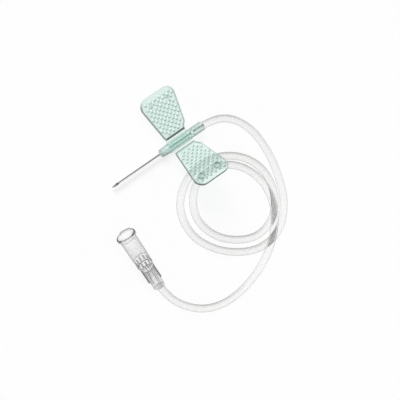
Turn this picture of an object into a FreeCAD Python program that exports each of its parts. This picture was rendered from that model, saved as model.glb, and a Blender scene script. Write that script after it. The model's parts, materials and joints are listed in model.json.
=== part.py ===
# Winged infusion set: a short steel needle in a hub with two folding wings, a soft clear
# tube laid in loose turns, and a female taper connector. Millimetres, +Z up. The set lies
# on a flat surface at Z = 0. +X runs along the needle towards its point, +Y is the side of
# the wing that stands up, and the origin is under the middle of the needle and wings.
import FreeCAD, Part
import math
import os
from FreeCAD import Vector

# Needle
NEEDLE_OD = 0.8
NEEDLE_BORE = 0.5
NEEDLE_EXPOSED = 20.0
BEVEL_ANGLE = 15.0
LANCET_TURN = 38.0
LANCET_REACH = 1.5
NEEDLE_REAR_GAP = 0.7
NEEDLE_WAIST = 0.05

# Tube: its bore, which the channels at both its ends line up with, and how far it is
# pushed into the hub and into the connector
TUBE_OD = 2.4
TUBE_BORE = 1.5
TUBE_INSERTION = 4.0
TUBE_CLEARANCE = 0.04
TUBE_SOCKET_OD = TUBE_OD + 2 * TUBE_CLEARANCE

# Hub: a nose with an adhesive cup, a core under the wing sleeve, and a tube socket
SLEEVE_LENGTH = 8.4
SLEEVE_WALL = 0.43
SLEEVE_CLEARANCE = 0.02
SHOULDER_CLEARANCE = 0.03
HUB_CORE_OD = 2.4
HUB_CHANNEL = 1.1
NOSE_LENGTH = 3.1
NOSE_SHOULDER = 0.25
CUP_DEPTH = 1.3
CUP_FLOOR_GAP = 0.2
CUP_MOUTH_GAP = 0.55
CUP_WALL = 0.3
BOND_BULGE = 0.22
SOCKET_FLOOR = 1.3
SOCKET_WALL = 0.26
EDGE_ROUND = 0.15
SLEEVE_OD = HUB_CORE_OD + 2 * (SLEEVE_CLEARANCE + SLEEVE_WALL)
NOSE_OD = HUB_CORE_OD + 2 * NOSE_SHOULDER
CUP_MOUTH_OD = NEEDLE_OD + 2 * CUP_MOUTH_GAP
CUP_FLOOR_OD = NEEDLE_OD + 2 * CUP_FLOOR_GAP
NOSE_TIP_OD = CUP_MOUTH_OD + 2 * CUP_WALL
SOCKET_OD = TUBE_SOCKET_OD + 2 * SOCKET_WALL
SOCKET_LENGTH = TUBE_INSERTION + SOCKET_FLOOR

# Wings, in their own frame: along the hub, and outwards from the hinge
WING_DIHEDRAL = 20.0
HUB_ROLL = 24.0
HINGE_OFFSET = 0.65
HINGE_GAP = 0.1
WEB_THICKNESS = 0.5
WEB_ROOT_THICKNESS = 1.0
ROOT_MARGIN = 0.35
WING_THICKNESS = 0.95
WING_LENGTH = 14.7
WING_STEP = 0.36
NEEDLE_SIDE_FLARE = 3.2
TUBE_SIDE_FLARE = 3.2
SHOULDER_WIDTH = 1.15
SHOULDER_START = 1.0
SHOULDER_END = 2.2
SHOULDER_RADIUS = 0.8
CORNER_RADIUS = 2.8
WING_EDGE = 0.18
STUD_INSET = 3.0
STUD_FORWARD = 3.3
STUD_REARWARD = 3.1
PEG_OD = 1.1
PEG_HEIGHT = 0.8
PEG_ROUND = 0.3
PEG_PLAY = 0.25
PEG_END_PLAY = 0.15
RING_HEIGHT = 0.45
RING_WALL = 0.35
RING_ROUND = 0.12
HINGE_RADIUS = SLEEVE_OD / 2 + HINGE_OFFSET
WING_ROOT = SLEEVE_LENGTH - 2 * ROOT_MARGIN
RING_BORE = PEG_OD + 2 * PEG_PLAY
RING_OD = RING_BORE + 2 * RING_WALL
RING_POCKET = PEG_HEIGHT + PEG_END_PLAY - RING_HEIGHT
STUD_FROM_HINGE = WING_LENGTH - STUD_INSET

# Connector, lengths measured along its axis from the tube end
CONNECTOR_LENGTH = 21.0
TAPER_MOUTH = 4.3
TAPER = 0.06
TAPER_DEPTH = 7.6
FUNNEL_LENGTH = 1.0
FUNNEL_STEP = 0.35
TAIL_WALL = 0.6
GRIP_LENGTH = 7.4
FIN_COUNT = 6
FIN_START = 2.7
FIN_WIDTH = 0.55
FIN_OD = 4.5
NECK_OD = 4.6
NECK_LENGTH = 1.6
COLLAR_OD = 5.1
COLLAR_LENGTH = 2.5
NOTCH_COUNT = 12
NOTCH_WIDTH = 0.6
NOTCH_LENGTH = 1.5
NOTCH_DEPTH = 0.25
BARREL_WALL = 0.55
BARREL_DRAFT = 0.1
FLANGE_RIM = 0.5
FLANGE_LENGTH = 0.9
LUG_OD = 7.8
LUG_CHORD = 3.6
LUG_TURN = -34.0
CONNECTOR_ROUND = 0.25
TAIL_OD = TUBE_SOCKET_OD + 2 * TAIL_WALL
BARREL_OD = TAPER_MOUTH + 2 * BARREL_WALL
FLANGE_OD = BARREL_OD + 2 * FLANGE_RIM

# Where the connector lies, and the straight runs of tube next to the hub and next to it
CONNECTOR_TAIL_X = 19.1
CONNECTOR_TAIL_Y = 37.0
CONNECTOR_HEADING = -80.4
HUB_LEAD = 2.6
CONNECTOR_LEAD = 2.6

# The free part of the tube as it lies: two loose turns that close inwards, then over both
# turns and round to the connector. The third value is the lift above the surface, in tube
# diameters.
TUBE_ROUTE = [
    (-28.4, 5.0, 0.0),
    (-33.7, 12.0, 0.0),
    (-35.6, 20.8, 0.0),
    (-35.4, 29.7, 0.0),
    (-33.3, 38.6, 0.0),
    (-27.4, 45.6, 0.0),
    (-18.4, 46.8, 0.0),
    (-9.9, 43.1, 0.0),
    (-2.9, 37.1, 0.0),
    (1.7, 29.1, 0.0),
    (1.2, 19.7, 0.0),
    (-5.6, 13.6, 0.0),
    (-15.0, 12.3, 0.0),
    (-23.6, 15.6, 0.0),
    (-30.2, 22.2, 0.0),
    (-32.3, 31.0, 0.0),
    (-28.8, 39.9, 0.0),
    (-20.3, 43.2, 0.0),
    (-11.6, 39.8, 0.0),
    (-4.9, 33.5, 0.0),
    (-2.2, 24.8, 0.0),
    (-6.9, 16.7, 0.0),
    (-16.0, 15.0, 0.0),
    (-24.4, 19.7, 0.0),
    (-29.3, 27.6, 0.0),
    (-28.6, 36.2, 0.95),
    (-23.3, 44.1, 1.3),
    (-17.0, 49.9, 0.8),
    (-9.1, 53.9, 0.0),
    (0.3, 54.8, 0.0),
    (8.8, 52.2, 0.0),
    (15.3, 46.2, 0.0),
]

X_AXIS = Vector(1, 0, 0)
Y_AXIS = Vector(0, 1, 0)
Z_AXIS = Vector(0, 0, 1)
ZERO = Vector(0, 0, 0)
OVERLAP = 0.1

# Stations along the hub, measured from the middle of the sleeve
SLEEVE_FRONT = SLEEVE_LENGTH / 2
SLEEVE_BACK = -SLEEVE_LENGTH / 2
NOSE_FRONT = SLEEVE_FRONT + NOSE_LENGTH
CUP_FLOOR = NOSE_FRONT - CUP_DEPTH
RIM = SLEEVE_BACK - SOCKET_LENGTH
TUBE_SEAT = RIM + TUBE_INSERTION
BOND_FRONT = NOSE_FRONT + BOND_BULGE
WAIST_MIDDLE = (CUP_FLOOR + BOND_FRONT) / 2
NEEDLE_TIP = NOSE_FRONT + NEEDLE_EXPOSED
NEEDLE_REAR = TUBE_SEAT + NEEDLE_REAR_GAP

# The hub lies on its sleeve and on the outer edge of the lower wing, midway over the origin
HUB_HEIGHT = SLEEVE_OD / 2
LOW_ANGLE = HUB_ROLL - WING_DIHEDRAL
HIGH_ANGLE = HUB_ROLL + WING_DIHEDRAL


def sine(angle):
    """Sine of an angle in degrees."""
    return math.sin(math.radians(angle))


def cosine(angle):
    """Cosine of an angle in degrees."""
    return math.cos(math.radians(angle))


def wing_reach(angle):
    """How far the outer edge of a wing at this angle stands off the hub's axis, sideways."""
    edge = WING_THICKNESS / 2 - WING_EDGE
    return (HINGE_RADIUS + WING_LENGTH) * cosine(angle) + edge * sine(angle)


HUB_X = -(NEEDLE_TIP + RIM) / 2
HUB_Y = (wing_reach(LOW_ANGLE) - wing_reach(HIGH_ANGLE)) / 2


def turned(points):
    """A solid of revolution about the X axis from its (station, radius) outline."""
    outline = [Vector(station, radius, 0) for station, radius in points]
    face = Part.Face(Part.makePolygon(outline + outline[:1]))
    return face.revolve(ZERO, X_AXIS, 360)


def rod(diameter, start, end):
    """A round bar on the X axis between two stations."""
    return Part.makeCylinder(diameter / 2, end - start, Vector(start, 0, 0), X_AXIS)


def prism(points, direction):
    """A solid swept from a flat closed outline along one direction."""
    return Part.Face(Part.makePolygon(points + points[:1])).extrude(direction)


def rims(shape, station, radius):
    """The circular edges of a turned solid at one station and radius."""
    found = []
    for edge in shape.Edges:
        box = edge.BoundBox
        at_station = abs(box.XMin - station) < 0.001 and abs(box.XMax - station) < 0.001
        if at_station and abs(box.ZLength / 2 - radius) < 0.001:
            found.append(edge)
    return found


def ridge(shape, height):
    """The edges of an upright solid that lie flat at one height."""
    return [edge for edge in shape.Edges if edge.BoundBox.ZMin > height - 0.001]


def in_ring(shape, count, offset=0.0):
    """Copies of a shape spaced evenly round the X axis."""
    copies = []
    for index in range(count):
        copy = shape.copy()
        copy.rotate(ZERO, X_AXIS, offset + 360.0 * index / count)
        copies.append(copy)
    return copies


def on_hub(shape):
    """Rolls a piece with the hub and sets it down in its place."""
    placed = shape.copy()
    placed.rotate(ZERO, X_AXIS, HUB_ROLL)
    placed.translate(Vector(HUB_X, HUB_Y, HUB_HEIGHT))
    return placed


def sloped_cut(turn, slope, height):
    """A wedge that takes off all above a plane rising backwards from the needle's tip."""
    size = 2 * NEEDLE_OD / slope
    wedge = prism([
        Vector(NEEDLE_TIP + OVERLAP, -NEEDLE_OD, height - OVERLAP * slope),
        Vector(NEEDLE_TIP - size, -NEEDLE_OD, height + size * slope),
        Vector(NEEDLE_TIP + OVERLAP, -NEEDLE_OD, height + size * slope),
    ], Vector(0, 2 * NEEDLE_OD, 0))
    wedge.rotate(ZERO, X_AXIS, turn)
    return wedge


def needle_waist():
    """The ring ground off the needle inside the cup, where the adhesive grips it."""
    radius = NEEDLE_OD / 2
    return turned([
        (CUP_FLOOR, radius),
        (WAIST_MIDDLE, radius - NEEDLE_WAIST),
        (BOND_FRONT, radius),
        (WAIST_MIDDLE, radius + OVERLAP),
    ])


def needle_cannula():
    """The steel tube: waisted in the cup, one long bevel, then two short lancet faces."""
    radius = NEEDLE_OD / 2
    slope = sine(BEVEL_ANGLE) / cosine(BEVEL_ANGLE)
    rise = LANCET_REACH * slope - radius
    half_width = math.sqrt(radius ** 2 - rise ** 2)
    lancet_low = -radius * cosine(LANCET_TURN)
    lancet_high = half_width * sine(LANCET_TURN) + rise * cosine(LANCET_TURN)
    lancet_slope = (lancet_high - lancet_low) / LANCET_REACH
    bar = rod(NEEDLE_OD, NEEDLE_REAR, NEEDLE_TIP)
    bar = bar.cut(rod(NEEDLE_BORE, NEEDLE_REAR - OVERLAP, NEEDLE_TIP + OVERLAP))
    bar = bar.cut(needle_waist())
    bar = bar.cut(sloped_cut(0, slope, -radius))
    for turn in (LANCET_TURN, -LANCET_TURN):
        bar = bar.cut(sloped_cut(turn, lancet_slope, lancet_low))
    return bar


def cannula_bond():
    """The cured adhesive round the needle in the cup of the nose, with a raised meniscus."""
    needle = NEEDLE_OD / 2
    shoulder = (CUP_MOUTH_OD / 2 + needle) / 2
    return turned([
        (CUP_FLOOR, needle),
        (CUP_FLOOR, CUP_FLOOR_OD / 2),
        (NOSE_FRONT, CUP_MOUTH_OD / 2),
        (NOSE_FRONT + BOND_BULGE / 2, shoulder),
        (BOND_FRONT, needle),
        (WAIST_MIDDLE, needle - NEEDLE_WAIST),
    ])


def needle_hub():
    """The rigid hub: tapered nose with its cup, core, needle bore, and socket for the tube."""
    blank = turned([
        (RIM, 0),
        (RIM, SOCKET_OD / 2),
        (SLEEVE_BACK, SOCKET_OD / 2),
        (SLEEVE_BACK, HUB_CORE_OD / 2),
        (SLEEVE_FRONT, HUB_CORE_OD / 2),
        (SLEEVE_FRONT, NOSE_OD / 2),
        (NOSE_FRONT, NOSE_TIP_OD / 2),
        (NOSE_FRONT, 0),
    ])
    ends = rims(blank, NOSE_FRONT, NOSE_TIP_OD / 2) + rims(blank, RIM, SOCKET_OD / 2)
    blank = blank.makeFillet(EDGE_ROUND, ends)
    cup = turned([
        (CUP_FLOOR, 0),
        (CUP_FLOOR, CUP_FLOOR_OD / 2),
        (NOSE_FRONT, CUP_MOUTH_OD / 2),
        (NOSE_FRONT, 0),
    ])
    needle_bore = rod(NEEDLE_OD, NEEDLE_REAR, NOSE_FRONT)
    channel = turned([
        (TUBE_SEAT, 0),
        (TUBE_SEAT, TUBE_BORE / 2),
        (NEEDLE_REAR, HUB_CHANNEL / 2),
        (NEEDLE_REAR, 0),
    ])
    socket = rod(TUBE_SOCKET_OD, RIM, TUBE_SEAT)
    return blank.cut([cup, needle_bore, channel, socket])


def web_root(side):
    """The strip that leaves the sleeve towards one hinge and thins out to the web."""
    inner = HUB_CORE_OD / 2 + SLEEVE_CLEARANCE + OVERLAP
    outer = HINGE_RADIUS - WEB_THICKNESS / 2 - HINGE_GAP
    thick = WEB_ROOT_THICKNESS / 2
    thin = WEB_THICKNESS / 2
    strip = prism([
        Vector(-WING_ROOT / 2, inner, thick),
        Vector(-WING_ROOT / 2, SLEEVE_OD / 2 + OVERLAP, thin),
        Vector(-WING_ROOT / 2, outer, thin),
        Vector(-WING_ROOT / 2, outer, -thin),
        Vector(-WING_ROOT / 2, SLEEVE_OD / 2 + OVERLAP, -thin),
        Vector(-WING_ROOT / 2, inner, -thick),
    ], Vector(WING_ROOT, 0, 0))
    strip.rotate(ZERO, X_AXIS, WING_DIHEDRAL if side > 0 else 180 - WING_DIHEDRAL)
    return strip


def wing_sleeve():
    """The soft sleeve over the hub's core, with the inner half of both hinge webs."""
    front = SLEEVE_FRONT - SHOULDER_CLEARANCE
    back = SLEEVE_BACK + SHOULDER_CLEARANCE
    body = rod(SLEEVE_OD, back, front)
    ends = rims(body, front, SLEEVE_OD / 2) + rims(body, back, SLEEVE_OD / 2)
    body = body.makeFillet(EDGE_ROUND, ends).fuse([web_root(1), web_root(-1)])
    bore = rod(HUB_CORE_OD + 2 * SLEEVE_CLEARANCE, SLEEVE_BACK, SLEEVE_FRONT)
    return body.cut(bore).removeSplitter()


def rounded_outline(corners):
    """A flat closed wire from (x, y, corner radius) corners, its round corners as arcs."""
    edges = []
    count = len(corners)
    starts = []
    ends = []
    for index, (x, y, radius) in enumerate(corners):
        here = Vector(x, y, 0)
        before = Vector(*corners[index - 1][:2], 0)
        after = Vector(*corners[(index + 1) % count][:2], 0)
        back = (before - here).normalize()
        ahead = (after - here).normalize()
        half = back.getAngle(ahead) / 2
        start = here + back * (radius / math.tan(half))
        end = here + ahead * (radius / math.tan(half))
        starts.append(start)
        ends.append(end)
        if radius:
            middle = here + (back + ahead).normalize() * (radius / math.sin(half) - radius)
            edges.append(Part.Arc(start, middle, end).toShape())
    for index in range(count):
        edges.append(Part.LineSegment(ends[index - 1], starts[index]).toShape())
    return Part.Wire(Part.__sortEdges__(edges))


def wing_plate():
    """One wing panel about its hinge at Y = 0: narrow root, shoulder, wide rounded end."""
    half = WING_ROOT / 2
    outline = rounded_outline([
        (half, WING_STEP, 0),
        (half + NEEDLE_SIDE_FLARE, WING_LENGTH, CORNER_RADIUS),
        (-half - TUBE_SIDE_FLARE, WING_LENGTH, CORNER_RADIUS),
        (-half - SHOULDER_WIDTH, SHOULDER_END, SHOULDER_RADIUS),
        (-half, SHOULDER_START, 0),
        (-half, WING_STEP, 0),
    ])
    panel = Part.Face(outline).extrude(Vector(0, 0, WING_THICKNESS))
    panel.translate(Vector(0, 0, -WING_THICKNESS / 2))
    flat = [edge for edge in panel.Edges if edge.BoundBox.ZLength < 0.001]
    outer = [edge for edge in flat if edge.BoundBox.YMax > SHOULDER_START + 0.001]
    return panel.makeChamfer(WING_EDGE, outer)


def stud_places():
    """The places on a wing of its two pegs, or of the two rings they snap into."""
    top = WING_THICKNESS / 2
    return [Vector(x, STUD_FROM_HINGE, top) for x in (STUD_FORWARD, -STUD_REARWARD)]


def with_pegs(panel):
    """The panel with two round-ended pegs on its upper face."""
    for place in stud_places():
        peg = Part.makeCylinder(PEG_OD / 2, PEG_HEIGHT + OVERLAP, place - Z_AXIS * OVERLAP)
        peg = peg.makeFillet(PEG_ROUND, ridge(peg, place.z + PEG_HEIGHT))
        panel = panel.fuse(peg)
    return panel


def with_rings(panel):
    """The panel with two ring bosses on its upper face, and their pockets for the pegs."""
    for place in stud_places():
        boss = Part.makeCylinder(RING_OD / 2, RING_HEIGHT + OVERLAP, place - Z_AXIS * OVERLAP)
        boss = boss.makeFillet(RING_ROUND, ridge(boss, place.z + RING_HEIGHT))
        pocket = Part.makeCylinder(RING_BORE / 2, RING_POCKET + RING_HEIGHT,
                                   place - Z_AXIS * RING_POCKET)
        panel = panel.fuse(boss).cut(pocket)
    return panel


def wing(studs):
    """A whole wing: its panel and studs, and the outer half of the web with its round end."""
    strip = Part.makeBox(WING_ROOT, WING_STEP + OVERLAP, WEB_THICKNESS,
                         Vector(-WING_ROOT / 2, 0, -WEB_THICKNESS / 2))
    knuckle = Part.makeCylinder(WEB_THICKNESS / 2, WING_ROOT, Vector(-WING_ROOT / 2, 0, 0), X_AXIS)
    return studs(wing_plate()).fuse([strip, knuckle]).removeSplitter()


def on_hinge(shape, side):
    """Sets a wing on its hinge at one side of the hub, at its moulded angle."""
    placed = shape.copy() if side > 0 else shape.mirror(ZERO, Y_AXIS)
    placed.rotate(ZERO, X_AXIS, WING_DIHEDRAL * side)
    sideways = side * HINGE_RADIUS * cosine(WING_DIHEDRAL)
    placed.translate(Vector(0, sideways, HINGE_RADIUS * sine(WING_DIHEDRAL)))
    return on_hub(placed)


def connector_lie():
    """How the connector lies, on its lowest fin and its lower lug: its rise and its tail's height."""
    lug_station = CONNECTOR_LENGTH - FLANGE_LENGTH
    lug_corner = abs(LUG_TURN) - math.degrees(math.asin(LUG_CHORD / LUG_OD))
    lug_reach = LUG_OD / 2 * cosine(lug_corner)
    rise = math.degrees(math.atan((lug_reach - FIN_OD / 2) / (lug_station - FIN_START)))
    tail_height = FIN_OD / 2 * cosine(rise) - FIN_START * sine(rise)
    return rise, tail_height


def on_connector(station):
    """A point on the connector's axis as it lies."""
    rise, tail_height = connector_lie()
    flat = station * cosine(rise)
    return Vector(CONNECTOR_TAIL_X + flat * cosine(CONNECTOR_HEADING),
                  CONNECTOR_TAIL_Y + flat * sine(CONNECTOR_HEADING),
                  tail_height + station * sine(rise))


def tube_points():
    """The whole route: out of the hub's socket, the free part, and into the connector."""
    points = [Vector(HUB_X + TUBE_SEAT, HUB_Y, HUB_HEIGHT)]
    points.append(Vector(HUB_X + RIM - HUB_LEAD, HUB_Y, HUB_HEIGHT))
    points += [Vector(x, y, TUBE_OD * (0.5 + lift)) for x, y, lift in TUBE_ROUTE]
    points.append(on_connector(-CONNECTOR_LEAD))
    points.append(on_connector(TUBE_INSERTION))
    return points


def route_edges(points):
    """Straight runs joined by tangent arcs as large as the runs allow, and the radii."""
    edges = []
    radii = []
    last = points[0]
    for before, here, after in zip(points, points[1:], points[2:]):
        incoming = (here - before).normalize()
        outgoing = (after - here).normalize()
        half = incoming.getAngle(outgoing) / 2
        set_back = 0.45 * min((here - before).Length, (after - here).Length)
        radius = set_back / math.tan(half)
        start = here - incoming * set_back
        end = here + outgoing * set_back
        inward = (outgoing - incoming).normalize()
        middle = here + inward * (radius / math.cos(half) - radius)
        edges.append(Part.LineSegment(last, start).toShape())
        edges.append(Part.Arc(start, middle, end).toShape())
        radii.append(radius)
        last = end
    edges.append(Part.LineSegment(last, points[-1]).toShape())
    return edges, radii


def infusion_tube():
    """The clear tube along its route, plain: its outside, solid, as both its ends are hidden."""
    points = tube_points()
    edges, radii = route_edges(points)
    path = Part.Wire(edges)
    ring = Part.Wire(Part.makeCircle(TUBE_OD / 2, points[0], points[1] - points[0]))
    tube = path.makePipeShell([ring], True, False)
    section = math.pi / 4 * TUBE_OD ** 2
    print("tube bend radii", " ".join("%.1f" % radius for radius in radii))
    print("tube length %.1f, volume over section times length %.4f"
          % (path.Length, tube.Volume / (section * path.Length)))
    return tube


def connector_blank():
    """The connector's outside, turned: tail, grip core, neck, collar, barrel, flange."""
    collar_start = GRIP_LENGTH + NECK_LENGTH
    barrel_start = collar_start + COLLAR_LENGTH
    flange_start = CONNECTOR_LENGTH - FLANGE_LENGTH
    blank = turned([
        (0, 0),
        (0, TAIL_OD / 2),
        (GRIP_LENGTH, TAIL_OD / 2),
        (GRIP_LENGTH, NECK_OD / 2),
        (collar_start, NECK_OD / 2),
        (collar_start, COLLAR_OD / 2),
        (barrel_start, COLLAR_OD / 2),
        (barrel_start, BARREL_OD / 2 - BARREL_DRAFT),
        (flange_start - FLANGE_RIM, BARREL_OD / 2),
        (flange_start, FLANGE_OD / 2),
        (CONNECTOR_LENGTH, FLANGE_OD / 2),
        (CONNECTOR_LENGTH, 0),
    ])
    ends = rims(blank, 0, TAIL_OD / 2) + rims(blank, CONNECTOR_LENGTH, FLANGE_OD / 2)
    return blank.makeFillet(CONNECTOR_ROUND, ends)


def grip_fins():
    """Long fins round the grip that stop short of the plain tail."""
    root = TAIL_OD / 2 - OVERLAP
    length = GRIP_LENGTH + OVERLAP - FIN_START
    fin = Part.makeBox(length, FIN_WIDTH, FIN_OD / 2 - root,
                       Vector(FIN_START, -FIN_WIDTH / 2, root))
    return in_ring(fin, FIN_COUNT)


def collar_notches():
    """Shallow notches round the collar between the barrel and the grip."""
    start = GRIP_LENGTH + NECK_LENGTH + (COLLAR_LENGTH - NOTCH_LENGTH) / 2
    notch = Part.makeBox(NOTCH_LENGTH, NOTCH_WIDTH, 2 * NOTCH_DEPTH,
                         Vector(start, -NOTCH_WIDTH / 2, COLLAR_OD / 2 - NOTCH_DEPTH))
    return in_ring(notch, NOTCH_COUNT, 180.0 / NOTCH_COUNT)


def lock_lugs():
    """The two lugs at the mouth that a threaded collar takes hold of."""
    start = CONNECTOR_LENGTH - FLANGE_LENGTH
    disc = rod(LUG_OD, start, CONNECTOR_LENGTH)
    inner = (TAPER_MOUTH + BARREL_WALL) / 2
    block = Part.makeBox(FLANGE_LENGTH, LUG_CHORD, LUG_OD, Vector(start, -LUG_CHORD / 2, inner))
    return in_ring(disc.common(block), 2, LUG_TURN)


def connector():
    """The female taper connector, laid down where the tube ends."""
    taper_start = CONNECTOR_LENGTH - TAPER_DEPTH
    taper_end_radius = (TAPER_MOUTH - TAPER * TAPER_DEPTH) / 2
    body = connector_blank().cut(collar_notches())
    body = body.fuse(grip_fins() + lock_lugs()).removeSplitter()
    taper_bore = turned([
        (taper_start, 0),
        (taper_start, taper_end_radius),
        (CONNECTOR_LENGTH, TAPER_MOUTH / 2),
        (CONNECTOR_LENGTH, 0),
    ])
    funnel = turned([
        (taper_start - FUNNEL_LENGTH, 0),
        (taper_start - FUNNEL_LENGTH, TUBE_BORE / 2),
        (taper_start, taper_end_radius - FUNNEL_STEP),
        (taper_start, 0),
    ])
    channel = rod(TUBE_BORE, TUBE_INSERTION, taper_start)
    socket = rod(TUBE_SOCKET_OD, 0, TUBE_INSERTION)
    body = body.cut([taper_bore, funnel, channel, socket])
    body.rotate(ZERO, Y_AXIS, -connector_lie()[0])
    body.rotate(ZERO, Z_AXIS, CONNECTOR_HEADING)
    body.translate(on_connector(0))
    return body


def main():
    """Builds every piece, prints what came out, and writes its file."""
    os.makedirs("parts", exist_ok=True)
    pieces = {
        "needle_cannula": on_hub(needle_cannula()),
        "cannula_bond": on_hub(cannula_bond()),
        "needle_hub": on_hub(needle_hub()),
        "wing_sleeve": on_hub(wing_sleeve()),
        "pin_wing": on_hinge(wing(with_pegs), -1),
        "socket_wing": on_hinge(wing(with_rings), 1),
        "infusion_tube": infusion_tube(),
        "connector": connector(),
    }
    print("hub at %.3f %.3f %.3f" % (HUB_X, HUB_Y, HUB_HEIGHT))
    print("connector rise %.2f deg, tail height %.3f" % connector_lie())
    for name, shape in pieces.items():
        sound = shape.isValid() and len(shape.Solids) == 1
        print("%-15s %s volume %.2f" % (name, "sound" if sound else "NOT SOUND", shape.Volume))
        shape.exportStep("parts/%s.step" % name)


main()
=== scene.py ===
import json
import logging
import math
from dataclasses import dataclass, field
from enum import Enum
from typing import Any

import bmesh
import bpy
import numpy as np
from mathutils import Matrix, Vector


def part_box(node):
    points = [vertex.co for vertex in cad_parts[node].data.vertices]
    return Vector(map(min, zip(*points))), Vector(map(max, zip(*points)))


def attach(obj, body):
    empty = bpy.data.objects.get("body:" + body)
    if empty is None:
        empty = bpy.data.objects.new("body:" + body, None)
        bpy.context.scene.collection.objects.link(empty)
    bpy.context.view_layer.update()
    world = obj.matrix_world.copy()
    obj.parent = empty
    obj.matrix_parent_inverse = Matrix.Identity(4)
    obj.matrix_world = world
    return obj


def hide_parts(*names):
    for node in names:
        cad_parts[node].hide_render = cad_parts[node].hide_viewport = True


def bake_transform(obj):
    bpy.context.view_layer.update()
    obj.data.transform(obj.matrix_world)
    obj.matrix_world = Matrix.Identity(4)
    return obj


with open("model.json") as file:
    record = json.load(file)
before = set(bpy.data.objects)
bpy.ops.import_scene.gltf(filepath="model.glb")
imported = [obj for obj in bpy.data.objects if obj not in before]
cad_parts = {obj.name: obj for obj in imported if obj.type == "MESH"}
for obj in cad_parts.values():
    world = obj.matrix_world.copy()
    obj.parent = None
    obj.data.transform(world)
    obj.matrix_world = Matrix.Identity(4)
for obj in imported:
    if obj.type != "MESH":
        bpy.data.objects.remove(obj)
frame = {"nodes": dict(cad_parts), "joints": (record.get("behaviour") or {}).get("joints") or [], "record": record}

MM = 0.001
MERGE = 0.2e-6  # points nearer than this, in metres, are one
Array = np.ndarray
Colour = tuple[float, float, float]
log = logging.getLogger("winged_set")


class WingSide(Enum):
    """Which of the two wings: the one that lies, with pegs, or the one that stands, with rings."""

    PEGS = "pin"
    RINGS = "socket"


# Shader helpers


class Value:
    """One number socket of a node tree. Arithmetic on it adds Math nodes to the tree."""

    def __init__(self, tree: "Tree", socket: bpy.types.NodeSocket) -> None:
        """Wraps a socket.

        Args:
            tree: the tree that new Math nodes go into.
            socket: the output socket that holds the number.
        """
        self.tree = tree
        self.socket = socket

    def _math(self, operation: str, *numbers: Any) -> "Value":
        """Adds one Math node.

        Args:
            operation: the Math node's operation.
            numbers: its inputs in order, each a Value or a plain number.

        Returns:
            The node's result.
        """
        return self.tree.value("ShaderNodeMath", 0, dict(enumerate(numbers)), operation=operation)

    def __add__(self, other: Any) -> "Value":
        """The sum."""
        return self._math("ADD", self, other)

    __radd__ = __add__

    def __sub__(self, other: Any) -> "Value":
        """The difference."""
        return self._math("SUBTRACT", self, other)

    def __rsub__(self, other: Any) -> "Value":
        """The difference the other way round."""
        return self._math("SUBTRACT", other, self)

    def __mul__(self, other: Any) -> "Value":
        """The product."""
        return self._math("MULTIPLY", self, other)

    __rmul__ = __mul__

    def __pow__(self, other: Any) -> "Value":
        """The power."""
        return self._math("POWER", self, other)

    def most(self, other: Any) -> "Value":
        """The larger of the two."""
        return self._math("MAXIMUM", self, other)

    def least(self, other: Any) -> "Value":
        """The smaller of the two."""
        return self._math("MINIMUM", self, other)


class Tree:
    """A node tree with one way to add any node to it."""

    def __init__(self, tree: bpy.types.NodeTree) -> None:
        """Empties the tree, ready for new nodes."""
        tree.nodes.clear()
        self.tree = tree

    def node(self, kind: str, inputs: dict[Any, Any] | None = None,
             **settings: Any) -> bpy.types.Node:
        """Adds a node.

        Args:
            kind: the node's type.
            inputs: by the sockets' names or numbers, a plain value, a link, or a node, whose
                first output is linked. A colour is three numbers.
            settings: the node's own properties, which are set first.

        Returns:
            The new node.
        """
        made = self.tree.nodes.new(kind)
        for name, value in settings.items():
            setattr(made, name, value)
        for name, value in (inputs or {}).items():
            socket = made.inputs[name]
            if isinstance(value, Value):
                value = value.socket
            elif isinstance(value, bpy.types.Node):
                value = value.outputs[0]
            if isinstance(value, bpy.types.NodeSocket):
                self.tree.links.new(value, socket)
            else:
                socket.default_value = (*value, 1.0) if socket.type == "RGBA" else value
        return made

    def value(self, kind: str, output: Any, inputs: dict[Any, Any] | None = None,
              **settings: Any) -> Value:
        """Adds a node and returns one of its outputs as a number."""
        return Value(self, self.node(kind, inputs, **settings).outputs[output])

    def blend(self, factor: Any, first: Any, second: Any) -> bpy.types.NodeSocket:
        """Mixes two colours.

        Args:
            factor: how much of the second, a Value or a number.
            first: the first colour, a socket or three numbers.
            second: the second colour.

        Returns:
            The mixed colour's socket.
        """
        inputs = {0: factor, 6: first, 7: second}
        return self.node("ShaderNodeMix", inputs, data_type="RGBA").outputs[2]

    def place(self) -> bpy.types.NodeSocket:
        """The point on the piece, in metres of its own frame."""
        return self.node("ShaderNodeTexCoord").outputs["Object"]

    def cloud(self, scale: float, detail: float, roughness: float) -> Value:
        """Soft random variation from 0 to 1 over the piece."""
        return self.value("ShaderNodeTexNoise", "Fac", {
            "Vector": self.place(), "Scale": scale, "Detail": detail, "Roughness": roughness})

    def mark(self, name: str) -> Value:
        """The number that the mesh carries at each point under a name."""
        return self.value("ShaderNodeAttribute", "Fac", attribute_name=name)


def new_material(name: str) -> tuple[bpy.types.Material, Tree]:
    """Makes an empty material.

    Args:
        name: the material's name.

    Returns:
        The material and its tree.
    """
    material = bpy.data.materials.new(name)
    material.use_nodes = True
    return material, Tree(material.node_tree)


# Finishes

# Clouds are given as patches in a metre, layers of detail, and how rough the layers are.
TONE_CLOUD = (700.0, 3.0, 0.5)
GRAIN_CLOUD = (2600.0, 4.0, 0.6)
GRAIN_STRENGTH = 0.6
GLOSS_CHANGE = 0.06
PLASTIC_IOR = 1.46
# A tube has three walls in front of its last one. A wall behind more is seen through other
# plastic, and its colour goes this far to the rim's.
OWN_WALLS = 3.0
BEHIND_TONE = 0.8
# One over the length, in metres, over which frost comes up.
FROST_RISE = 2500.0


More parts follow.
